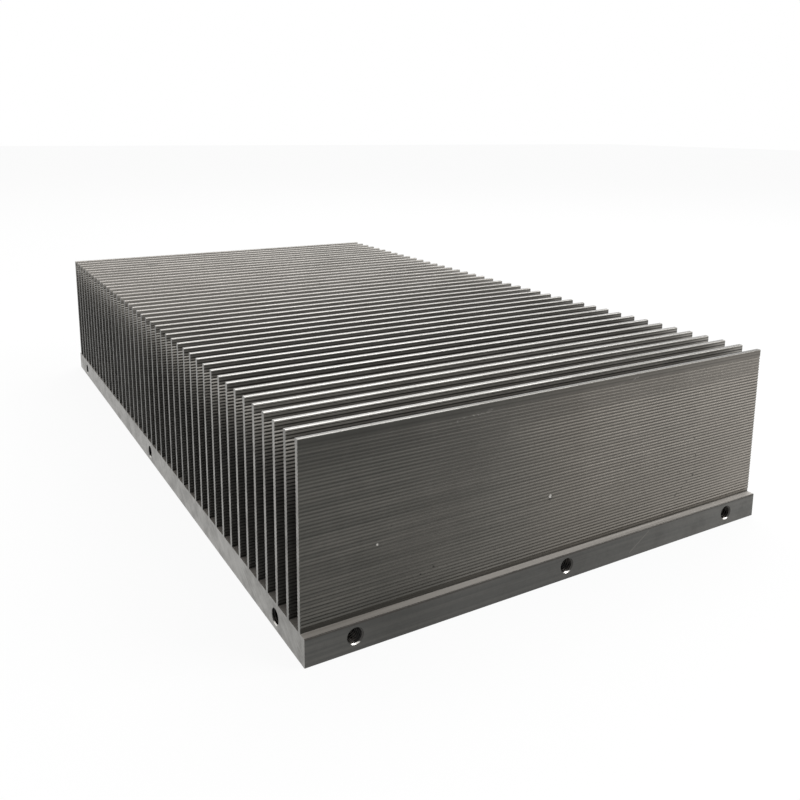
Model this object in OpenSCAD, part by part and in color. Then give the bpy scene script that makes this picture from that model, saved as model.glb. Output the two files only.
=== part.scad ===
// Comb heat sink, extruded in one piece: a flat base that carries a row of tall ridged fins.
// It is sawn to length, and tapped along one side and one end.
// X runs across the fins, Y along the extrusion and Z up. The origin is the centre of the underside.

/* [Base] */
// Cut length of the extrusion, along Y
cut_length = 210; // [80:1:600]
// Thickness of the base
base_t = 10; // [9:0.5:20]
// Width of the ledge between each outermost fin and the side of the base
ledge_w = 3; // [1:0.1:12]
// Radius of the base's four long edges
edge_r = 0.3; // [0.1:0.1:0.9]

/* [Fins] */
// Number of fins
fin_count = 42; // [8:1:60]
// Distance from one fin to the next
fin_pitch = 9; // [6:0.5:14]
// Thickness of a fin over its ridges
fin_t = 2; // [1.6:0.1:4]
// Height of a fin above the base
fin_h = 63.5; // [15:0.5:90]
// Radius of the two long edges of a fin's tip
tip_r = 0.3; // [0.1:0.1:0.6]

/* [Ridges] */
// Distance from one ridge to the next, up a fin's face
ridge_pitch = 1.2; // [0.8:0.1:3]
// Height of a ridge above the furrows beside it
ridge_depth = 0.25; // [0.1:0.05:0.5]
// Height of the plain band at a fin's tip
tip_band = 2.1; // [0.7:0.1:6]
// Least height of the groove at a fin's root
root_groove_min = 1; // [0.4:0.1:4]

/* [Tapped holes] */
// Wall diameter of a tapped hole, where the thread is left out
tap_d = 5; // [3:0.1:5.5]
// Depth of a hole's straight wall
tap_depth = 15; // [6:0.5:18]
// Depth of the chamfer at a hole's mouth
tap_chamfer = 0.5; // [0.2:0.1:0.8]
// Number of holes along the side
side_holes = 3; // [2:1:6]
// Distance from each end of the base to the nearest side hole
side_inset = 17.5; // [12:0.5:30]
// Height of the side holes above the middle of the base's thickness
side_rise = 0.5; // [-0.5:0.1:0.5]
// Number of holes along the end
end_holes = 3; // [2:1:6]
// Distance from each side of the base to the nearest end hole
end_inset = 24; // [22:0.5:30]
// Height of the end holes above the middle of the base's thickness
end_rise = -0.4; // [-0.5:0.1:0.5]

/* [Hidden] */
$fn = 48;

base_w = (fin_count - 1) * fin_pitch + fin_t + 2 * ledge_w;
ridge_count = floor((fin_h - tip_band - root_groove_min) / ridge_pitch);
root_groove = fin_h - tip_band - ridge_count * ridge_pitch;
drill_point_angle = 118;
drill_point_h = tap_d / 2 / tan(drill_point_angle / 2);
cut_over = 1;

// The angles of the points on a quarter turn, for the edges that are rounded.
function quarter(from, to) = [for (k = [0 : 3]) from + (to - from) * k / 3];

// Where one face of a fin runs, from its root up, as [depth below the crests, height above the base].
function root_points() = [[ridge_depth, 0], [ridge_depth, root_groove]];
function ridge_points() = [
    for (i = [0 : ridge_count - 1], step = [[1, 0.125], [0, 0.375], [0, 0.625], [1, 0.875]])
        [ridge_depth * step[0], root_groove + (i + step[1]) * ridge_pitch]
];
function tip_points() = [
    for (angle = quarter(0, 90))
        [tip_r - tip_r * cos(angle), fin_h - tip_r + tip_r * sin(angle)]
];
function ridged_face() = concat(root_points(), ridge_points(), [[0, fin_h - tip_band]], tip_points());
function plain_face() = concat(root_points(), [[0, root_groove]], tip_points());

// A fin's outline: up the face on its -X side, across the tip and down the face on its +X side.
function fin_outline(x, left, right) = concat(
    [for (p = left) [x - fin_t / 2 + p[0], base_t + p[1]]],
    [for (i = [len(right) - 1 : -1 : 0]) [x + fin_t / 2 - right[i][0], base_t + right[i][1]]]
);

// The fins in a row. Only the two faces that look outwards carry the ridges as solid.
function fin_row() = [
    for (i = [0 : fin_count - 1])
        let (
            x = (i - (fin_count - 1) / 2) * fin_pitch,
            left = i == 0 ? ridged_face() : plain_face(),
            right = i == fin_count - 1 ? ridged_face() : plain_face()
        )
        each fin_outline(x, left, right)
];

// A rounded corner of the base, centred on [x, z] and turning from one angle to the other.
function corner(x, z, from, to) = [
    for (angle = quarter(from, to))
        [x + edge_r * cos(angle), z + edge_r * sin(angle)]
];

// The extruded section, clockwise from the lower corner on the -X side.
module section() {
    corner_x = base_w / 2 - edge_r;
    polygon(concat(
        corner(-corner_x, edge_r, 270, 180),
        corner(-corner_x, base_t - edge_r, 180, 90),
        fin_row(),
        corner(corner_x, base_t - edge_r, 90, 0),
        corner(corner_x, edge_r, 0, -90)
    ));
}

// The space of one tapped hole: its mouth is on z = 0 and it runs down to a drill point.
module tapped_hole() {
    tap_r = tap_d / 2;
    rotate_extrude()
        polygon([
            [0, -tap_depth - drill_point_h],
            [tap_r, -tap_depth],
            [tap_r, -tap_chamfer],
            [tap_r + tap_chamfer, 0],
            [tap_r + tap_chamfer, cut_over],
            [0, cut_over]
        ]);
}

// The holes along the +X side of the base.
module side_row() {
    reach = cut_length / 2 - side_inset;
    for (i = [0 : side_holes - 1])
        translate([base_w / 2, -reach + 2 * reach * i / (side_holes - 1), base_t / 2 + side_rise])
            rotate([0, 90, 0])
                tapped_hole();
}

// The holes along the -Y end of the base.
module end_row() {
    reach = base_w / 2 - end_inset;
    for (i = [0 : end_holes - 1])
        translate([-reach + 2 * reach * i / (end_holes - 1), -cut_length / 2, base_t / 2 + end_rise])
            rotate([90, 0, 0])
                tapped_hole();
}

module heat_sink() {
    color([0.42, 0.41, 0.39])
        difference() {
            rotate([90, 0, 0])
                linear_extrude(cut_length, center = true)
                    section();
            side_row();
            end_row();
        }
}

heat_sink();
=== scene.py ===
import math

import bmesh
import bpy
import numpy as np
from mathutils import Euler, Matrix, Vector
from mathutils.geometry import delaunay_2d_cdt


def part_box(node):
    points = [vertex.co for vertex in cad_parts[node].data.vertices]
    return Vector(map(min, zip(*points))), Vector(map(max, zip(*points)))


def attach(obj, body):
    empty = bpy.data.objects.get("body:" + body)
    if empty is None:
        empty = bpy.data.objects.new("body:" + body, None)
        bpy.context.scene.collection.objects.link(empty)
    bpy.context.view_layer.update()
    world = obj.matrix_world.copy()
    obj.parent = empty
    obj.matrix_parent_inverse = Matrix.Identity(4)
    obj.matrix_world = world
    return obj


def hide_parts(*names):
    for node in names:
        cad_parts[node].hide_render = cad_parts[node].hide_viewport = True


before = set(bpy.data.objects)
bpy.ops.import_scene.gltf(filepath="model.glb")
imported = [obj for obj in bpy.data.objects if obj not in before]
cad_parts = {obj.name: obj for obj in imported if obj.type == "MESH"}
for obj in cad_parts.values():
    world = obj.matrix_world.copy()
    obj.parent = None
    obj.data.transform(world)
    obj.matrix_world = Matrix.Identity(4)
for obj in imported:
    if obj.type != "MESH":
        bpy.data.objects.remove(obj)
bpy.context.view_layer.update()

# ---------------------------------------------------------------------------------------
# Camera, floor and light
# A product shot from just above one corner, on white paper that runs out of sight, under a soft
# ceiling light and a smaller soft light at the side.
# ---------------------------------------------------------------------------------------

SHOT_AZIMUTH = math.radians(59.01)
SHOT_ELEVATION = math.radians(10.95)
SHOT_ROLL = math.radians(0.6)
SHOT_PLACE = Vector((0.4033, -0.1970, 0.1644))
SHOT_LENS_MM = 37.84
SHOT_SHIFT = (-0.015, -0.1396)

camera = bpy.data.objects.new("camera", bpy.data.cameras.new("camera"))
bpy.context.collection.objects.link(camera)
bpy.context.scene.camera = camera
bpy.context.scene.view_settings.view_transform = "Standard"
camera.data.lens = SHOT_LENS_MM
camera.data.shift_x, camera.data.shift_y = SHOT_SHIFT
camera.data.clip_start = 0.005
camera.location = SHOT_PLACE
turn = Euler((0, 0, SHOT_AZIMUTH)).to_matrix()
tilt = Euler((math.pi / 2 - SHOT_ELEVATION, 0, 0)).to_matrix()
roll = Euler((0, 0, SHOT_ROLL)).to_matrix()
camera.rotation_euler = (turn @ tilt @ roll).to_euler()

FLOOR_SPAN = 12.0
FLOOR_COLOUR = (0.86, 0.86, 0.86, 1)
PAPER_ROUGHNESS = 0.9
BACKGROUND_SHARE = 0.93  # how far the floor is lifted to plain white where it is looked at
ROOM_LIGHTS = 0.45  # how strongly the white room lights the object
ROOM_SEEN = 1.0  # how bright the same room looks, also in the metal


def seen_directly(nodes, links):
    """1 for camera, glossy and transmission rays, 0 for the rays that light the object."""
    path = nodes.new("ShaderNodeLightPath")
    either = nodes.new("ShaderNodeMath")
    either.operation = "MAXIMUM"
    links.new(path.outputs["Is Camera Ray"], either.inputs[0])
    links.new(path.outputs["Is Glossy Ray"], either.inputs[1])
    any_ray = nodes.new("ShaderNodeMath")
    any_ray.operation = "MAXIMUM"
    links.new(either.outputs[0], any_ray.inputs[0])
    links.new(path.outputs["Is Transmission Ray"], any_ray.inputs[1])
    return any_ray.outputs[0]


floor_mesh = bpy.data.meshes.new("floor")
half = FLOOR_SPAN / 2
corners = [(-half, -half, 0), (half, -half, 0), (half, half, 0), (-half, half, 0)]
floor_mesh.from_pydata(corners, [], [(0, 1, 2, 3)])
floor = bpy.data.objects.new("floor", floor_mesh)
bpy.context.collection.objects.link(floor)
paper = bpy.data.materials.new("white_paper")
paper.use_nodes = True
nodes, links = paper.node_tree.nodes, paper.node_tree.links
shader = nodes["Principled BSDF"]
shader.inputs["Base Color"].default_value = FLOOR_COLOUR
shader.inputs["Roughness"].default_value = PAPER_ROUGHNESS
glow = nodes.new("ShaderNodeEmission")
blend = nodes.new("ShaderNodeMixShader")
share = nodes.new("ShaderNodeMath")
share.operation = "MULTIPLY"
share.inputs[1].default_value = BACKGROUND_SHARE
links.new(seen_directly(nodes, links), share.inputs[0])
links.new(share.outputs[0], blend.inputs[0])
links.new(shader.outputs[0], blend.inputs[1])
links.new(glow.outputs[0], blend.inputs[2])
links.new(blend.outputs[0], nodes["Material Output"].inputs["Surface"])
floor_mesh.materials.append(paper)

world = bpy.data.worlds.new("studio")
bpy.context.scene.world = world
world.use_nodes = True
nodes, links = world.node_tree.nodes, world.node_tree.links
sky = nodes["Background"]
sky.inputs["Color"].default_value = (1, 1, 1, 1)
strength = nodes.new("ShaderNodeMapRange")
strength.inputs["To Min"].default_value = ROOM_LIGHTS
strength.inputs["To Max"].default_value = ROOM_SEEN
links.new(seen_directly(nodes, links), strength.inputs["Value"])
links.new(strength.outputs["Result"], sky.inputs["Strength"])


def soft_light(name, place, aim, size, watts):
    """A square lamp of the given side at a place, turned so that it faces a point."""
    lamp = bpy.data.lights.new(name, "AREA")
    lamp.size = size
    lamp.energy = watts
    holder = bpy.data.objects.new(name, lamp)
    bpy.context.collection.objects.link(holder)
    holder.location = place
    holder.rotation_euler = (Vector(aim) - Vector(place)).to_track_quat("-Z", "Y").to_euler()


soft_light("ceiling_light", (-0.5, 0.5, 1.3), (0, 0, 0.03), 1.2, 16)
soft_light("side_light", (0.75, 0.9, 1.0), (0.15, 0.05, 0.03), 0.8, 12)

# ---------------------------------------------------------------------------------------
# The heat sink
# One length of aluminium extrusion: a flat base with a row of tall fins, ridged on both faces
# by the die. Both ends are sawn, and the base is drilled and tapped M6 on one side and one end.
# ---------------------------------------------------------------------------------------

MM = 0.001
low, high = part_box("heat_sink")
LENGTH = high[1] - low[1]
HEIGHT = high[2] - low[2]
BASE_T = 10.0 * MM
LEDGE_W = 3.0 * MM
EDGE_R = 0.3 * MM
CORNER_STEPS = 3

FIN_PITCH = 9.0 * MM
FIN_T = 2.0 * MM
FIN_H = HEIGHT - BASE_T
FIN_COUNT = 1 + round((high[0] - low[0] - 2 * LEDGE_W - FIN_T) / FIN_PITCH)
TIP_BAND = 2.1 * MM
TIP_R = 0.3 * MM
TIP_STEPS = 3
ROOT_GROOVE = 1.4 * MM

RIDGE_PITCH = 1.2 * MM
RIDGE_DEPTH = 0.25 * MM
RIDGE_STEPS = 8

WELD_WITHIN = 0.002 * MM  # patches are joined where their points lie this close
SHARP_ANGLE = math.radians(32)


def fin_face():
    """One face of a fin from its root to its tip, as depth below the ridge crests and height above
    the base. The root groove lies at full depth, the ridges are a cosine wave that starts and ends
    in a furrow, and above the last crest the face is plain up to the tip's small radius."""
    ridges = round((FIN_H - TIP_BAND - ROOT_GROOVE) / RIDGE_PITCH)
    phase = np.arange(ridges * RIDGE_STEPS) / RIDGE_STEPS
    phase = phase[phase < ridges - 0.5]
    wave = RIDGE_DEPTH * (0.5 + 0.5 * np.cos(2 * np.pi * phase))
    turn = np.linspace(0, np.pi / 2, TIP_STEPS + 1)
    depth = np.concatenate([[RIDGE_DEPTH], wave, [0.0], TIP_R * (1 - np.cos(turn))])
    height = np.concatenate(
        [
            [0.0],
            ROOT_GROOVE + phase * RIDGE_PITCH,
            [ROOT_GROOVE + (ridges - 0.5) * RIDGE_PITCH],
            FIN_H - TIP_R + TIP_R * np.sin(turn),
        ]
    )
    return depth, height


def fin_faces():
    """The two faces of every fin as arrays [fin, point, (x, z)]: the left one stands half a
    thickness to the -X side of the fin's middle and the right one mirrors it."""
    depth, height = fin_face()
    middle = (np.arange(FIN_COUNT) - (FIN_COUNT - 1) / 2)[:, None] * FIN_PITCH
    z = np.broadcast_to(BASE_T + height, (FIN_COUNT, len(height)))
    left = np.stack([middle - FIN_T / 2 + depth, z], axis=-1)
    right = np.stack([middle + FIN_T / 2 - depth, z], axis=-1)
    return left, right


def arc(x, z, start, end):
    """A quarter turn of the base's edge radius round (x, z), from one angle to the other."""
    angle = np.radians(np.linspace(start, end, CORNER_STEPS + 1))
    return np.stack([x + EDGE_R * np.cos(angle), z + EDGE_R * np.sin(angle)], axis=-1)


def base_under():
    """The underside from the lower +X corner to the ledge on the -X side, clockwise."""
    x, z = high[0] - EDGE_R, BASE_T - EDGE_R
    return np.concatenate([arc(x, EDGE_R, 0, -90), arc(-x, EDGE_R, 270, 180), arc(-x, z, 180, 90)])


def base_shoulder():
    """The ledge's rounded edge on the +X side, clockwise."""
    return arc(high[0] - EDGE_R, BASE_T - EDGE_R, 90, 0)


# The mesh is put together from patches, which share their edge points and are merged at the end.
SKIN, LEDGE, SAWN, TIP, TAPPED = range(5)
patch_points, patch_faces, patch_finish, patch_smooth = [], [], [], []


def add_patch(points, faces, finish, smooth=False):
    """Keeps one patch: its points [n, 3], its faces [m, 3 or 4], the finish of each face, and
    whether its faces are shaded as one rounded surface."""
    offset = sum(len(p) for p in patch_points)
    patch_points.append(points)
    patch_faces.append((faces + offset).tolist())
    patch_finish.append(np.broadcast_to(finish, len(faces)))
    patch_smooth.append(np.broadcast_to(smooth, len(faces)))


def grid_faces(rows, columns, wrap=False):
    """The quads between neighbouring points of a grid that is stored row by row. With wrap, the
    last column joins the first."""
    index = np.arange(rows * columns).reshape(rows, columns)
    right = np.roll(index, -1, axis=1)
    quads = np.stack([index[:-1], right[:-1], right[1:], index[1:]], axis=-1)
    return (quads if wrap else quads[:, :-1]).reshape(-1, 4)


# The skin: the whole outline apart from the tapped side, carried from end to end.
left, right = fin_faces()
fins = np.concatenate([left, right[:, ::-1]], axis=1).reshape(-1, 2)
outline = np.concatenate([base_under(), fins, base_shoulder()])
ends = np.array([low[1], high[1]])
skin = np.empty((len(outline), len(ends), 3))
skin[..., 0] = outline[:, None, 0]
skin[..., 1] = ends
skin[..., 2] = outline[:, None, 1]
at_tip = outline[:, 1] > high[2] - 0.6 * TIP_R
on_base = np.isclose(outline[:, 1], BASE_T)
finish = np.where(at_tip[:-1] & at_tip[1:], TIP, SKIN)
finish = np.where(on_base[:-1] & on_base[1:], LEDGE, finish)
on_fin = outline[:-1, 1] > BASE_T + ROOT_GROOVE / 2
add_patch(skin.reshape(-1, 3), grid_faces(len(outline), len(ends)), finish, smooth=on_fin)

# The fins' sawn ends: a strip of quads between each fin's two faces.
for y in ends:
    strip = np.empty((FIN_COUNT, left.shape[1], 2, 3))
    strip[..., 0, 0], strip[..., 1, 0] = left[..., 0], right[..., 0]
    strip[..., 1] = y
    strip[..., 2] = left[..., None, 1]
    starts = np.arange(FIN_COUNT)[:, None, None] * strip[0].size // 3
    add_patch(strip.reshape(-1, 3), (grid_faces(left.shape[1], 2) + starts).reshape(-1, 4), SAWN)

# The tapped holes. M6 coarse: the wall's minor diameter is 5.0 mm, the thread's major diameter 6.0 mm.
TAP_R = 2.5 * MM
THREAD_R = 3.0 * MM
THREAD_PITCH = 1.0 * MM
THREAD_SLOPE = 1.6  # how steeply the flanks rise, so that they leave a flat crest and root
THREAD_FLAT = 0.3
MOUTH_R = 3.0 * MM
TAP_DEPTH = 15.0 * MM
THREAD_END = 12.0 * MM
DRILL_POINT = TAP_R / math.tan(math.radians(59))
HOLE_SIDES = 32
RINGS_A_TURN = 8

SIDE_HOLES = (3, 17.5 * MM, BASE_T / 2 + 0.5 * MM)  # count, inset from the ends, height
END_HOLES = (3, 24.0 * MM, BASE_T / 2 - 0.4 * MM)  # count, inset from the sides, height


def hole_wall():
    """A tapped hole as [ring, angle, (across, up, depth)]. The radius is a triangle wave of the depth
    less the turn, which makes the helix, between the minor and major radius. A 45 degree cone opens
    the mouth, the thread dies out above the bottom, and the last ring is the drill's point."""
    rings = round(TAP_DEPTH / THREAD_PITCH * RINGS_A_TURN)
    depth = np.linspace(0, TAP_DEPTH, rings + 1)[:, None]
    angle = np.arange(HOLE_SIDES)[None] * 2 * np.pi / HOLE_SIDES
    turns = (depth / THREAD_PITCH - angle / (2 * np.pi)) % 1
    wave = np.clip(THREAD_SLOPE * np.abs(2 * turns - 1) - THREAD_FLAT, 0, 1)
    fade = np.clip((THREAD_END - depth) / THREAD_PITCH, 0, 1)
    radius = TAP_R + (THREAD_R - TAP_R) * wave * fade
    radius = np.maximum(radius, MOUTH_R - depth)
    wall = np.stack([radius * np.cos(angle), radius * np.sin(angle), depth + 0 * radius], axis=-1)
    point = np.zeros((1, HOLE_SIDES, 3))
    point[..., 2] = TAP_DEPTH + DRILL_POINT
    return np.concatenate([wall, point])


def hole_centres(count, reach, height):
    """The holes' centres as (along, up), evenly spaced from -reach to reach."""
    return np.stack([np.linspace(-reach, reach, count), np.full(count, height)], axis=-1)


TRIANGLES_INSIDE = 1  # the triangulation's mode that keeps to the outline


def pierced_panel(outline, centres):
    """A flat panel inside a closed outline [n, 2] with a round window at each centre, as triangles.
    Its only points are the outline's and the windows' own, so that it meets its neighbours."""
    angle = np.arange(HOLE_SIDES) * 2 * np.pi / HOLE_SIDES
    ring = MOUTH_R * np.stack([np.cos(angle), np.sin(angle)], axis=-1)
    loops = [outline] + [centre + ring for centre in centres]
    edges, start = [], 0
    for loop in loops:
        index = start + np.arange(len(loop))
        edges += np.stack([index, np.roll(index, -1)], axis=-1).tolist()
        start += len(loop)
    flat = [Vector(p) for p in np.concatenate(loops) / MM]
    points, _, triangles, *_ = delaunay_2d_cdt(flat, edges, [], TRIANGLES_INSIDE, 1e-6)
    points, triangles = np.array(points) * MM, np.array(triangles)
    in_window = np.zeros(len(triangles), bool)
    for centre in centres:
        on_rim = np.linalg.norm(points - centre, axis=1) < MOUTH_R * 1.01
        in_window |= on_rim[triangles].all(axis=1)
    return points, triangles[~in_window]


# The side and both ends of the base, and the holes in them.
lower, upper = EDGE_R, BASE_T - EDGE_R
side_outline = np.array(
    [[low[1], lower], [high[1], lower], [high[1], upper], [low[1], upper]]
)
fin_roots = np.stack([left[:, 0], right[:, 0]], axis=1).reshape(-1, 2)
end_outline = np.concatenate([base_under(), fin_roots, base_shoulder()])
side_centres = hole_centres(SIDE_HOLES[0], LENGTH / 2 - SIDE_HOLES[1], SIDE_HOLES[2])
end_centres = hole_centres(END_HOLES[0], high[0] - END_HOLES[1], END_HOLES[2])

flat, faces = pierced_panel(side_outline, side_centres)
points = np.column_stack([np.full(len(flat), high[0]), flat])
add_patch(points, faces, SKIN)
for y, centres in ((low[1], end_centres), (high[1], end_centres[:0])):
    flat, faces = pierced_panel(end_outline, centres)
    points = np.column_stack([flat[:, 0], np.full(len(flat), y), flat[:, 1]])
    add_patch(points, faces, SAWN)

wall = hole_wall()
wall_faces = grid_faces(len(wall), HOLE_SIDES, wrap=True)
for along, up in side_centres:
    points = np.stack([high[0] - wall[..., 2], along + wall[..., 0], up + wall[..., 1]], axis=-1)
    add_patch(points.reshape(-1, 3), wall_faces, TAPPED, smooth=True)
for along, up in end_centres:
    points = np.stack([along + wall[..., 0], low[1] + wall[..., 2], up + wall[..., 1]], axis=-1)
    add_patch(points.reshape(-1, 3), wall_faces, TAPPED, smooth=True)

body_mesh = bpy.data.meshes.new("heat_sink_body")
body_mesh.from_pydata(np.concatenate(patch_points), [], sum(patch_faces, []))
body_mesh.polygons.foreach_set("material_index", np.concatenate(patch_finish).astype(np.int32))
shell = bmesh.new()
shell.from_mesh(body_mesh)
bmesh.ops.remove_doubles(shell, verts=shell.verts, dist=WELD_WITHIN)
bmesh.ops.recalc_face_normals(shell, faces=shell.faces)
shell.to_mesh(body_mesh)
shell.free()
body_mesh.set_sharp_from_angle(angle=SHARP_ANGLE)
body_mesh.polygons.foreach_set("use_smooth", np.concatenate(patch_smooth))
body = bpy.data.objects.new("heat_sink_body", body_mesh)
bpy.context.collection.objects.link(body)


# The finishes. Effects that several of them share are node groups, which take the object's own
# coordinates in metres.


def add_node(tree, kind, sockets=None, **settings):
    """Adds one shader node. Each socket gets a plain value, or a link from another node's output."""
    made = tree.nodes.new(kind)
    for name, value in settings.items():
        setattr(made, name, value)
    for key, value in (sockets or {}).items():
        if isinstance(value, bpy.types.NodeSocket):
            tree.links.new(value, made.inputs[key])
        else:
            made.inputs[key].default_value = value
    return made


def calculate(tree, operation, *values):
    """One scalar sum of up to three values."""
    return add_node(tree, "ShaderNodeMath", dict(enumerate(values)), operation=operation).outputs[0]


def ramp(tree, value, start, end, low=0.0, high=1.0):
    """Runs smoothly from low to high while the value goes from start to end."""
    sockets = {"Value": value, "From Min": start, "From Max": end, "To Min": low, "To Max": high}
    return add_node(tree, "ShaderNodeMapRange", sockets, interpolation_type="SMOOTHSTEP").outputs["Result"]


def tint(tree, share, colour, other):
    """Mixes one colour towards another by a share from 0 to 1. A mix node's colours are its sockets
    6 and 7."""
    pair = [c if isinstance(c, bpy.types.NodeSocket) else (*c, 1) for c in (colour, other)]
    sockets = {0: share, 6: pair[0], 7: pair[1]}
    return add_node(tree, "ShaderNodeMix", sockets, data_type="RGBA").outputs[2]


def new_group(name, inputs, output):
    """An empty node group with a Position input, number inputs of the given defaults, and one mask."""
    tree = bpy.data.node_groups.new(name, "ShaderNodeTree")
    tree.interface.new_socket("Position", in_out="INPUT", socket_type="NodeSocketVector")
    for label, default in inputs.items():
        kind = "NodeSocketVector" if isinstance(default, tuple) else "NodeSocketFloat"
        socket = tree.interface.new_socket(label, in_out="INPUT", socket_type=kind)
        socket.default_value = default
    tree.interface.new_socket(output, in_out="OUTPUT", socket_type="NodeSocketFloat")
    return tree, tree.nodes.new("NodeGroupInput").outputs


def close_group(tree, output):
    """Sends the mask to the group's output."""
    tree.links.new(output, tree.nodes.new("NodeGroupOutput").inputs[0])
    return tree


def place(tree, group, **values):
    """Puts a node group into a material with its own values, and returns its mask."""
    made = add_node(tree, "ShaderNodeGroup", node_tree=group)
    for key, value in values.items():
        socket = made.inputs[key.replace("_", " ").capitalize()]
        if isinstance(value, bpy.types.NodeSocket):
            tree.links.new(value, socket)
        else:
            socket.default_value = value
    return made.outputs[0]


def build_die_lines():
    """Fine lines along Y that the die draws: noise that is stretched far more along Y than across."""
    tree, given = new_group("die_lines", {"Lines a metre": 900.0, "Breaks a metre": 6.0}, "Lines")
    stretch = add_node(tree, "ShaderNodeCombineXYZ")
    tree.links.new(given["Lines a metre"], stretch.inputs["X"])
    tree.links.new(given["Breaks a metre"], stretch.inputs["Y"])
    tree.links.new(given["Lines a metre"], stretch.inputs["Z"])
    pair = {0: given["Position"], 1: stretch.outputs[0]}
    scaled = add_node(tree, "ShaderNodeVectorMath", pair, operation="MULTIPLY").outputs[0]
    noise = add_node(tree, "ShaderNodeTexNoise", {"Vector": scaled, "Scale": 1.0, "Detail": 3.0})
    return close_group(tree, ramp(tree, noise.outputs["Fac"], 0.3, 0.7))


def build_stains():
    """Soft patches: noise of the given size in metres, of which the given share stands out."""
    tree, given = new_group("stains", {"Size": 0.03, "Share": 0.5, "Edge": 0.12}, "Stain")
    scale = calculate(tree, "DIVIDE", 1.0, given["Size"])
    sockets = {"Vector": given["Position"], "Scale": scale, "Detail": 4.0, "Roughness": 0.6}
    noise = add_node(tree, "ShaderNodeTexNoise", sockets)
    level = calculate(tree, "SUBTRACT", 1.0, given["Share"])
    level = ramp(tree, level, 0.0, 1.0, 0.3, 0.7)
    start = calculate(tree, "SUBTRACT", level, given["Edge"])
    end = calculate(tree, "ADD", level, given["Edge"])
    return close_group(tree, ramp(tree, noise.outputs["Fac"], start, end))


def build_specks():
    """Scattered round specks: the given share of cells of a given spacing holds one, of any size up
    to the radius."""
    tree, given = new_group("specks", {"Spacing": 0.004, "Share": 0.2, "Radius": 0.0003}, "Specks")
    scale = calculate(tree, "DIVIDE", 1.0, given["Spacing"])
    cells = add_node(tree, "ShaderNodeTexVoronoi", {"Vector": given["Position"], "Scale": scale})
    pick = add_node(tree, "ShaderNodeSeparateColor", {"Color": cells.outputs["Color"]})
    held = calculate(tree, "LESS_THAN", pick.outputs["Red"], given["Share"])
    share_of_radius = ramp(tree, pick.outputs["Green"], 0.0, 1.0, 0.4, 1.0)
    reach = calculate(tree, "MULTIPLY", given["Radius"], share_of_radius)
    reach = calculate(tree, "MULTIPLY", reach, scale)
    inside = ramp(tree, cells.outputs["Distance"], reach, 0.0)
    return close_group(tree, calculate(tree, "MULTIPLY", held, inside))


def build_nick():
    """One small mark: 1 at its centre and 0 beyond its radius."""
    tree, given = new_group("nick", {"Centre": (0.0, 0.0, 0.0), "Radius": 0.001, "Core": 0.3}, "Mark")
    pair = {0: given["Position"], 1: given["Centre"]}
    far = add_node(tree, "ShaderNodeVectorMath", pair, operation="DISTANCE")
    core = calculate(tree, "MULTIPLY", given["Radius"], given["Core"])
    return close_group(tree, ramp(tree, far.outputs["Value"], given["Radius"], core))


def build_scratch():
    """A straight scratch: 1 on the line from its start to its end and 0 beyond half its width. The
    nearest point is found by projecting onto the line and clamping to its ends."""
    ends = {"Start": (0.0, 0.0, 0.0), "End": (0.0, 0.0, 0.01), "Width": 0.0006}
    tree, given = new_group("scratch", ends, "Mark")

    def vector(operation, *values):
        return add_node(tree, "ShaderNodeVectorMath", dict(enumerate(values)), operation=operation)

    along = vector("SUBTRACT", given["End"], given["Start"]).outputs[0]
    out = vector("SUBTRACT", given["Position"], given["Start"]).outputs[0]
    reach = vector("DOT_PRODUCT", out, along).outputs["Value"]
    length = vector("DOT_PRODUCT", along, along).outputs["Value"]
    share = add_node(tree, "ShaderNodeClamp", {"Value": calculate(tree, "DIVIDE", reach, length)}).outputs[0]
    nearest = vector("SCALE", along)
    tree.links.new(share, nearest.inputs["Scale"])
    far = vector("DISTANCE", out, nearest.outputs[0]).outputs["Value"]
    half = calculate(tree, "MULTIPLY", given["Width"], 0.5)
    return close_group(tree, ramp(tree, far, half, 0.0))


die_lines = build_die_lines()
stains = build_stains()
specks = build_specks()
nick = build_nick()
scratch = build_scratch()


def new_finish(name, metallic):
    """A material with its tree, its shader, and the object's own coordinates whole and split."""
    finish = bpy.data.materials.new(name)
    finish.use_nodes = True
    tree = finish.node_tree
    shader = tree.nodes["Principled BSDF"]
    shader.inputs["Metallic"].default_value = metallic
    position = tree.nodes.new("ShaderNodeTexCoord").outputs["Object"]
    axes = add_node(tree, "ShaderNodeSeparateXYZ", {0: position}).outputs
    body_mesh.materials.append(finish)
    return tree, shader, position, axes


def put_on(tree, shader, colour, roughness, height, depth):
    """Links a finish's colour, roughness and relief to its shader."""
    bump = add_node(tree, "ShaderNodeBump", {"Strength": 1.0, "Distance": depth, "Height": height})
    tree.links.new(colour, shader.inputs["Base Color"])
    tree.links.new(roughness, shader.inputs["Roughness"])
    tree.links.new(bump.outputs[0], shader.inputs["Normal"])


# The extruded skin: dull oxide grey, from greenish at one end to brownish at the other. The outer face is
# also painted paler towards +Y as painted light from that side, and its furrows carry painted shade. The
# outermost face is rubbed nearly smooth in places. Between the fins the skin is paler towards the far side
# and towards the top, and the far fins' tip band is paler: all painted light.
SKIN_DARK = (0.057, 0.056, 0.0495)
# The pale end of the outer face's painted side light; also the colour of the die lines and of a scratch on
# the base.
SKIN_PALE_AND_LIT = (0.275, 0.256, 0.229)
SKIN_BASE = (0.073, 0.073, 0.069)
SKIN_BASE_PALE = (0.12, 0.119, 0.112)
SKIN_BROWN = (0.2, 0.165, 0.13)
INNER_NEAR = (0.11, 0.108, 0.1)
# The far end of a painted reflection on the inner faces.
INNER_FAR_LIT = (0.17, 0.166, 0.156)
# The pale of painted light between the fins and on the far fins' tip band.
PAINTED_LIGHT_GREY = (0.34, 0.325, 0.3)
# The dark of dirt, stains and dark marks, and also of the painted shade in the furrows.
DIRT_AND_FURROW_SHADE = (0.022, 0.021, 0.019)
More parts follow.
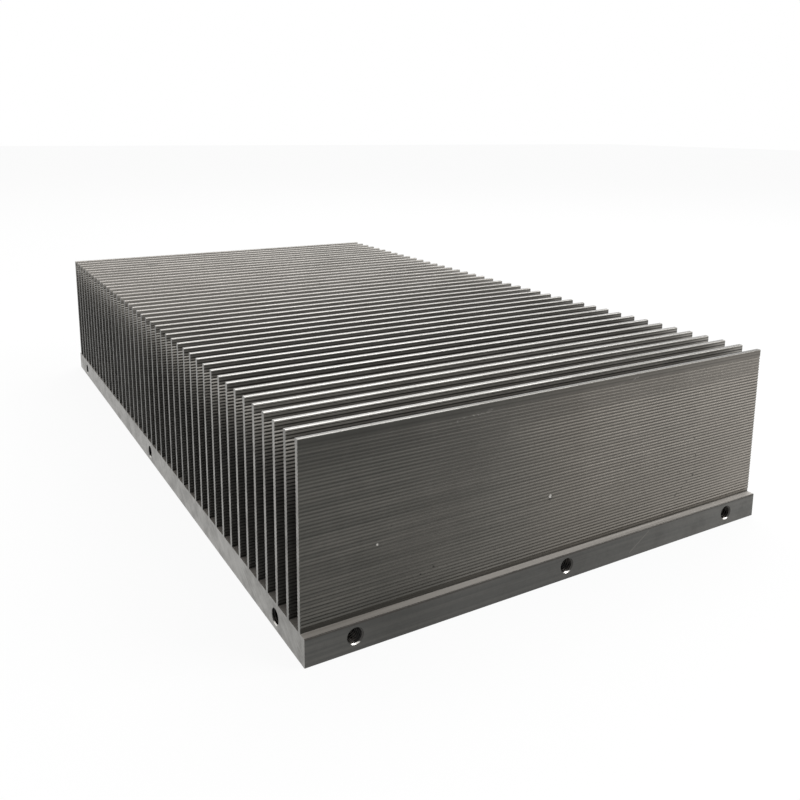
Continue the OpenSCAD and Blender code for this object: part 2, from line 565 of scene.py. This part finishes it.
# Bare metal in nicks, scratches and crumbs, and the painted highlight on the holes' chamfers.
BARE_METAL_AND_HIGHLIGHT = (0.75, 0.73, 0.69)
LEDGE_BROWN = (0.03, 0.024, 0.02)

# Where one finish, or a painted light or shade, runs into another, as the start and end of the change.
FAR_SIDE_X = (80 * MM, -60 * MM)
BROWNER_Y = (-35 * MM, 10 * MM)
BASE_PALER_Y = (0.0, 110 * MM)
PAINTED_LIGHT_Z = (45 * MM, 68 * MM)
RUBBED_ABOVE_Z = (62.5 * MM, 64.5 * MM)
# How strong the painted furrow shade is along Y, weak at -Y and strong at +Y.
FURROW_SHADE_FADES_Y = (-60 * MM, 60 * MM)

# The rubbed patch and the marks, as (y, z) in millimetres on the outermost face. Nicks have a radius
# and scratches a width, and both a strength and a colour.
RUBBED_PATCH = ((-72.0, 10.0), (-36.0, 66.0))
RUBBED_WIDTH = 50 * MM
NICKS = (
    ((-78.0, 33.0), 0.6, 0.6, BARE_METAL_AND_HIGHLIGHT),
    ((-6.8, 32.4), 1.3, 0.7, DIRT_AND_FURROW_SHADE),
    ((-6.8, 33.2), 0.9, 0.7, BARE_METAL_AND_HIGHLIGHT),
    ((-61.7, 17.9), 0.6, 1.0, DIRT_AND_FURROW_SHADE),
    ((-56.6, 19.3), 0.6, 1.0, DIRT_AND_FURROW_SHADE),
    ((-72.8, 38.0), 0.5, 0.8, DIRT_AND_FURROW_SHADE),
)
SCRATCHES = (
    ((67.6, 44.0), (71.0, 27.0), 1.6, 0.7, DIRT_AND_FURROW_SHADE),
    ((71.0, 27.0), (59.0, 18.4), 1.6, 0.7, DIRT_AND_FURROW_SHADE),
    ((21.0, 69.6), (34.0, 72.0), 0.9, 0.2, BARE_METAL_AND_HIGHLIGHT),
    ((-52.0, 68.6), (-34.0, 70.6), 1.6, 0.12, BARE_METAL_AND_HIGHLIGHT),
)
BASE_SCRATCH = ((32.0, 2.1), (42.0, 8.7))

face_x = high[0] - LEDGE_W


def on_side(x, spots):
    """The given (y, z) spots in millimetres as points on the plane at x."""
    return [(x, y * MM, z * MM) for y, z in spots]


tree, shader, position, axes = new_finish("extruded_skin", 0.75)
lines = place(tree, die_lines, position=position, lines_a_metre=700.0, breaks_a_metre=8.0)
cloud = place(tree, stains, position=position, size=0.035, share=0.5, edge=0.2)
grain = place(tree, stains, position=position, size=0.0016, share=0.5, edge=0.25)
along = calculate(tree, "MULTIPLY_ADD", axes["Y"], 1 / LENGTH, 0.5)
far_side = ramp(tree, axes["X"], *FAR_SIDE_X)
outer = calculate(tree, "GREATER_THAN", axes["X"], face_x - 1 * MM)
on_fin = ramp(tree, axes["Z"], BASE_T, BASE_T + 0.5 * MM)

# The outer face runs from dark at -Y to pale at +Y: painted light, as if lit from the +Y side.
side_light_and_tone = calculate(tree, "POWER", along, 1.6)
side_light_and_tone = calculate(tree, "ADD", side_light_and_tone, ramp(tree, cloud, 0.0, 1.0, -0.03, 0.05))
outer_colour = tint(tree, side_light_and_tone, SKIN_DARK, SKIN_PALE_AND_LIT)
brown = calculate(tree, "MULTIPLY", ramp(tree, axes["Y"], *BROWNER_Y), 0.14)
outer_colour = tint(tree, brown, outer_colour, SKIN_BROWN)
# Between the fins the skin is paler towards the far side: a painted reflection.
inner_colour = tint(tree, far_side, INNER_NEAR, INNER_FAR_LIT)
# Higher up between the fins the skin is paler: painted light from above.
painted_light_above = calculate(tree, "MULTIPLY", ramp(tree, axes["Z"], *PAINTED_LIGHT_Z), 0.85)
inner_colour = tint(tree, painted_light_above, inner_colour, PAINTED_LIGHT_GREY)
fin_colour = tint(tree, outer, inner_colour, outer_colour)
base_colour = tint(tree, ramp(tree, axes["Y"], *BASE_PALER_Y), SKIN_BASE, SKIN_BASE_PALE)
blotches = place(tree, stains, position=position, size=0.009, share=0.35, edge=0.12)
blotches = calculate(tree, "MULTIPLY", blotches, ramp(tree, axes["Y"], -0.02, 0.1, 0.08, 0.3))
base_colour = tint(tree, blotches, base_colour, DIRT_AND_FURROW_SHADE)
colour = tint(tree, on_fin, base_colour, fin_colour)
colour = tint(tree, calculate(tree, "MULTIPLY", lines, 0.12), colour, SKIN_PALE_AND_LIT)
colour = tint(tree, calculate(tree, "MULTIPLY", grain, 0.12), colour, DIRT_AND_FURROW_SHADE)

# Painted shade on the lower side of each ridge, which deepens the ridges' own shading. On the outer face it
# fades towards the comb end, and it is rubbed away in a slanting patch and above a line near the top. The
# die's last furrows are so shallow that they are only painted, as the same furrow shade.
phase = calculate(tree, "SUBTRACT", axes["Z"], BASE_T + ROOT_GROOVE + 0.25 * MM)
phase = calculate(tree, "COSINE", calculate(tree, "MULTIPLY", phase, 2 * math.pi / RIDGE_PITCH))
in_ridges = calculate(tree, "LESS_THAN", axes["Z"], high[2] - 0.6 * MM)
shaded = calculate(tree, "MULTIPLY", ramp(tree, phase, -0.3, 0.9), on_fin)
shaded = calculate(tree, "MULTIPLY", shaded, in_ridges)
start, end = on_side(face_x, RUBBED_PATCH)
patch = place(tree, scratch, position=position, start=start, end=end, width=RUBBED_WIDTH)
upper = ramp(tree, axes["Z"], *RUBBED_ABOVE_Z)
plain = ramp(tree, axes["Z"], high[2] - 3.2 * MM, high[2] - 2.4 * MM)
rubbed = place(tree, stains, position=position, size=0.03, share=0.4, edge=0.15)
kept = ramp(tree, axes["Y"], *FURROW_SHADE_FADES_Y, 0.05, 0.75)
kept = calculate(tree, "MULTIPLY", kept, ramp(tree, patch, 0.0, 0.6, 1.0, 0.0))
kept = calculate(tree, "MULTIPLY", kept, ramp(tree, rubbed, 0.0, 1.0, 1.1, 0.8))
kept = calculate(tree, "MULTIPLY", kept, ramp(tree, upper, 0.0, 1.0, 1.0, 0.2))
kept = calculate(tree, "MAXIMUM", kept, calculate(tree, "MULTIPLY", plain, 0.4))
inner_kept = ramp(tree, far_side, 0.0, 1.0, 0.9, 0.5)
kept = add_node(tree, "ShaderNodeMix", {0: outer, 2: inner_kept, 3: kept}).outputs[0]
colour = tint(tree, calculate(tree, "MULTIPLY", shaded, kept), colour, DIRT_AND_FURROW_SHADE)
# In the rubbed patch and the upper band the shaded slopes are made paler: dust, and painted light that evens
# out the ridges' own shading. The outer face there is then darkened as a whole.
dust_and_light = calculate(tree, "MAXIMUM", patch, calculate(tree, "MULTIPLY", upper, 0.55))
dust_and_light = calculate(tree, "MULTIPLY", dust_and_light, calculate(tree, "SUBTRACT", outer, plain))
paler = add_node(tree, "ShaderNodeVectorMath", {0: colour, "Scale": 1.5}, operation="SCALE").outputs[0]
dust_and_light_share = calculate(tree, "MAXIMUM", calculate(tree, "MULTIPLY", shaded, dust_and_light), 0.0)
colour = tint(tree, dust_and_light_share, colour, paler)
dulled = calculate(tree, "MULTIPLY", upper, 0.33)
dulled = calculate(tree, "MAXIMUM", dulled, calculate(tree, "MULTIPLY", patch, 0.3))
dulled = calculate(tree, "MULTIPLY", dulled, outer)
colour = tint(tree, dulled, colour, DIRT_AND_FURROW_SHADE)

# The plain band at the inner tips is darker on the near fins, and paler on the far ones as painted light.
band = ramp(tree, axes["Z"], high[2] - 2.6 * MM, high[2] - 1.6 * MM)
band = calculate(tree, "MULTIPLY", band, calculate(tree, "SUBTRACT", 1.0, outer))
darker_near = calculate(tree, "MULTIPLY", ramp(tree, axes["X"], 0.15, 0.12), 0.5)
darker_near = calculate(tree, "MULTIPLY", darker_near, calculate(tree, "SUBTRACT", 1.0, far_side))
colour = tint(tree, calculate(tree, "MULTIPLY", band, darker_near), colour, DIRT_AND_FURROW_SHADE)
far_band_light = calculate(tree, "MULTIPLY", band, ramp(tree, axes["X"], 0.02, -0.1))
far_band_light = calculate(tree, "MULTIPLY", far_band_light, ramp(tree, axes["Y"], -0.1, 0.1, 1.0, 0.4))
colour = tint(tree, far_band_light, colour, PAINTED_LIGHT_GREY)

# The brown line under the ledge, the marks on the outer face, and one scratch on the base's side.
under_ledge = calculate(tree, "GREATER_THAN", axes["X"], high[0] - 1 * MM)
below_edge = ramp(tree, axes["Z"], BASE_T - 0.8 * MM, BASE_T - 0.4 * MM)
under_ledge = calculate(tree, "MULTIPLY", under_ledge, below_edge)
colour = tint(tree, calculate(tree, "MULTIPLY", under_ledge, 0.6), colour, LEDGE_BROWN)
for centre, radius, depth, mark in NICKS:
    (spot,) = on_side(face_x, [centre])
    mask = place(tree, nick, position=position, centre=spot, radius=radius * MM)
    colour = tint(tree, calculate(tree, "MULTIPLY", mask, depth), colour, mark)
breaks = place(tree, stains, position=position, size=0.0022, share=0.4, edge=0.06)
for first, last, width, depth, mark in SCRATCHES:
    start, end = on_side(face_x, [first, last])
    line = place(tree, scratch, position=position, start=start, end=end, width=width * MM)
    line = calculate(tree, "MULTIPLY", line, breaks)
    colour = tint(tree, calculate(tree, "MULTIPLY", line, depth), colour, mark)
start, end = on_side(high[0], BASE_SCRATCH)
line = place(tree, scratch, position=position, start=start, end=end, width=0.6 * MM)
colour = tint(tree, calculate(tree, "MULTIPLY", line, 0.35), colour, SKIN_PALE_AND_LIT)
roughness = ramp(tree, cloud, 0.0, 1.0, 0.5, 0.4)
put_on(tree, shader, colour, roughness, lines, 0.02 * MM)

# The ledges and slot floors: the same skin, painted pale where it faces up as painted light from above, with
# crumbs of metal.
LEDGE_LIT_GREY = (0.5, 0.475, 0.44)
LEDGE_LINE = (0.2, 0.18, 0.16)
LEDGE_SHADE = (0.1, 0.085, 0.07)
tree, shader, position, axes = new_finish("ledge_skin", 0.0)
lines = place(tree, die_lines, position=position, lines_a_metre=1500.0, breaks_a_metre=15.0)
crumbs = place(tree, specks, position=position, spacing=1.2 * MM, share=0.5, radius=0.5 * MM)
crumbs = calculate(tree, "MULTIPLY", crumbs, ramp(tree, axes["Y"], -0.04, 0.1, 0.1, 0.9))
colour = tint(tree, calculate(tree, "MULTIPLY", lines, 0.5), LEDGE_LIT_GREY, LEDGE_LINE)
colour = tint(tree, crumbs, colour, BARE_METAL_AND_HIGHLIGHT)
# Painted shade: the slot floors between the fins and the ledge towards its -Y end are dimmed.
in_slot = calculate(tree, "LESS_THAN", axes["X"], high[0] - LEDGE_W)
dim = calculate(tree, "MAXIMUM", in_slot, ramp(tree, axes["Y"], -0.03, -0.1))
colour = tint(tree, calculate(tree, "MULTIPLY", dim, 0.5), colour, LEDGE_SHADE)
put_on(tree, shader, colour, ramp(tree, lines, 0.0, 1.0, 0.5, 0.6), lines, 0.03 * MM)

# The sawn ends: brighter, with the saw's fine slanting strokes and a dull mottle over them. Each fin's end
# differs a little in tone, and painted shade darkens the far fins' ends and the near corner.
SAWN_GREY = (0.375, 0.367, 0.347)
SAWN_DULL = (0.18, 0.176, 0.166)
SAW_SLANT = math.radians(62)
SAW_STROKES = (1800.0, 1.0, 90.0)  # strokes a metre across, through and along the slant
tree, shader, position, axes = new_finish("sawn_end", 0.8)
turned = add_node(tree, "ShaderNodeMapping", {"Vector": position, "Rotation": (0.0, SAW_SLANT, 0.0)})
pair = {0: turned.outputs[0], 1: SAW_STROKES}
stretched = add_node(tree, "ShaderNodeVectorMath", pair, operation="MULTIPLY").outputs[0]
strokes = add_node(tree, "ShaderNodeTexNoise", {"Vector": stretched, "Scale": 1.0, "Detail": 2.0})
strokes = ramp(tree, strokes.outputs["Fac"], 0.3, 0.7)
mottle = place(tree, stains, position=position, size=0.006, share=0.45, edge=0.2)
pits = place(tree, specks, position=position, spacing=2.5 * MM, share=0.3, radius=0.35 * MM)
fin_number = calculate(tree, "FLOOR", calculate(tree, "DIVIDE", axes["X"], FIN_PITCH))
by_fin = add_node(tree, "ShaderNodeTexWhiteNoise", {"W": fin_number}, noise_dimensions="1D")
on_fin = ramp(tree, axes["Z"], BASE_T, BASE_T + 2 * MM)
dull = calculate(tree, "MULTIPLY_ADD", strokes, 0.45, calculate(tree, "MULTIPLY", mottle, 0.35))
colour = tint(tree, dull, SAWN_GREY, SAWN_DULL)
colour = tint(tree, calculate(tree, "MULTIPLY", pits, 0.5), colour, DIRT_AND_FURROW_SHADE)
shade = calculate(tree, "MULTIPLY", by_fin.outputs["Value"], 0.2)
# Painted shade: darker towards the far fins, and at the near corner of the end.
shade = calculate(tree, "ADD", shade, ramp(tree, axes["X"], 0.12, 0.0, 0.0, 0.65))
shade = calculate(tree, "MULTIPLY", shade, on_fin)
shade = calculate(tree, "ADD", shade, ramp(tree, axes["X"], 0.15, high[0], 0.0, 0.2))
colour = tint(tree, shade, colour, SKIN_DARK)
put_on(tree, shader, colour, ramp(tree, mottle, 0.0, 1.0, 0.4, 0.5), strokes, 0.02 * MM)

# The fin tips: rubbed bright, and brightest on the near fins by a painted highlight; warmer and duller
# towards the far side. The outermost fin's own tip is dull.
# Bare bright tip metal, with the painted highlight of the near fins.
TIP_BRIGHT_AND_HIGHLIGHT = (0.46, 0.452, 0.435)
TIP_WARM = (0.34, 0.314, 0.29)
TIP_DULL = (0.16, 0.155, 0.145)
SMUDGE = (-147 * MM, -64 * MM, high[2])
DENT = (172.9 * MM, 9.2 * MM, high[2])
tree, shader, position, axes = new_finish("fin_tip", 1.0)
lines = place(tree, die_lines, position=position, lines_a_metre=1200.0, breaks_a_metre=25.0)
patches = place(tree, stains, position=position, size=0.04, share=0.45, edge=0.12)
# Bright on the near fins, warm on the far ones: the bright near end is a painted highlight.
colour = tint(tree, ramp(tree, axes["X"], 0.14, -0.1), TIP_BRIGHT_AND_HIGHLIGHT, TIP_WARM)
dull = calculate(tree, "MULTIPLY_ADD", lines, 0.2, calculate(tree, "MULTIPLY", patches, 0.2))
dull = calculate(tree, "ADD", dull, ramp(tree, axes["Y"], -0.1, 0.1, -0.1, 0.4))
dull = calculate(tree, "ADD", dull, ramp(tree, axes["X"], high[0] - 7 * MM, high[0] - 5 * MM, 0.0, 0.4))
dull = calculate(tree, "ADD", dull, ramp(tree, axes["X"], 0.13, 0.18, 0.0, 0.3))
dull = calculate(tree, "ADD", dull, ramp(tree, axes["X"], 0.0, -0.06, 0.0, 0.15))
dull = calculate(tree, "MAXIMUM", dull, 0.0)
colour = tint(tree, dull, colour, TIP_DULL)
smudge = place(tree, nick, position=position, centre=SMUDGE, radius=6 * MM)
colour = tint(tree, calculate(tree, "MULTIPLY", smudge, 0.6), colour, DIRT_AND_FURROW_SHADE)
dent = place(tree, nick, position=position, centre=DENT, radius=1.4 * MM)
colour = tint(tree, dent, colour, DIRT_AND_FURROW_SHADE)
put_on(tree, shader, colour, ramp(tree, patches, 0.0, 1.0, 0.28, 0.4), lines, 0.01 * MM)

# The tapped holes: cut threads painted near black for the shade deep inside them, and a chamfer whose lower
# part is painted bright as a highlight.
THREAD_SHADE = (0.006, 0.0056, 0.0052)
THREAD_EDGE = (0.04, 0.035, 0.03)
CHAMFER_GREY = (0.05, 0.048, 0.045)
tree, shader, position, axes = new_finish("tapped_thread", 0.8)
smear = place(tree, stains, position=position, size=0.002, share=0.4, edge=0.15)
# The thread is painted near black: painted shade deep inside the hole.
colour = tint(tree, smear, THREAD_SHADE, THREAD_EDGE)
mouth_depth = MOUTH_R - TAP_R
at_side = calculate(tree, "GREATER_THAN", axes["X"], high[0] - mouth_depth)
at_end = calculate(tree, "LESS_THAN", axes["Y"], low[1] + mouth_depth)
colour = tint(tree, calculate(tree, "MAXIMUM", at_side, at_end), colour, CHAMFER_GREY)
# The lower part of each chamfer faces up to the light: a painted highlight.
for mouth, height in ((at_side, SIDE_HOLES[2]), (at_end, END_HOLES[2])):
    lower = ramp(tree, axes["Z"], height - 0.75 * MOUTH_R, height - 0.9 * MOUTH_R)
    colour = tint(tree, calculate(tree, "MULTIPLY", mouth, lower), colour, BARE_METAL_AND_HIGHLIGHT)
put_on(tree, shader, colour, ramp(tree, smear, 0.0, 1.0, 0.25, 0.4), smear, 0.01 * MM)

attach(body, "root")
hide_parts("heat_sink")
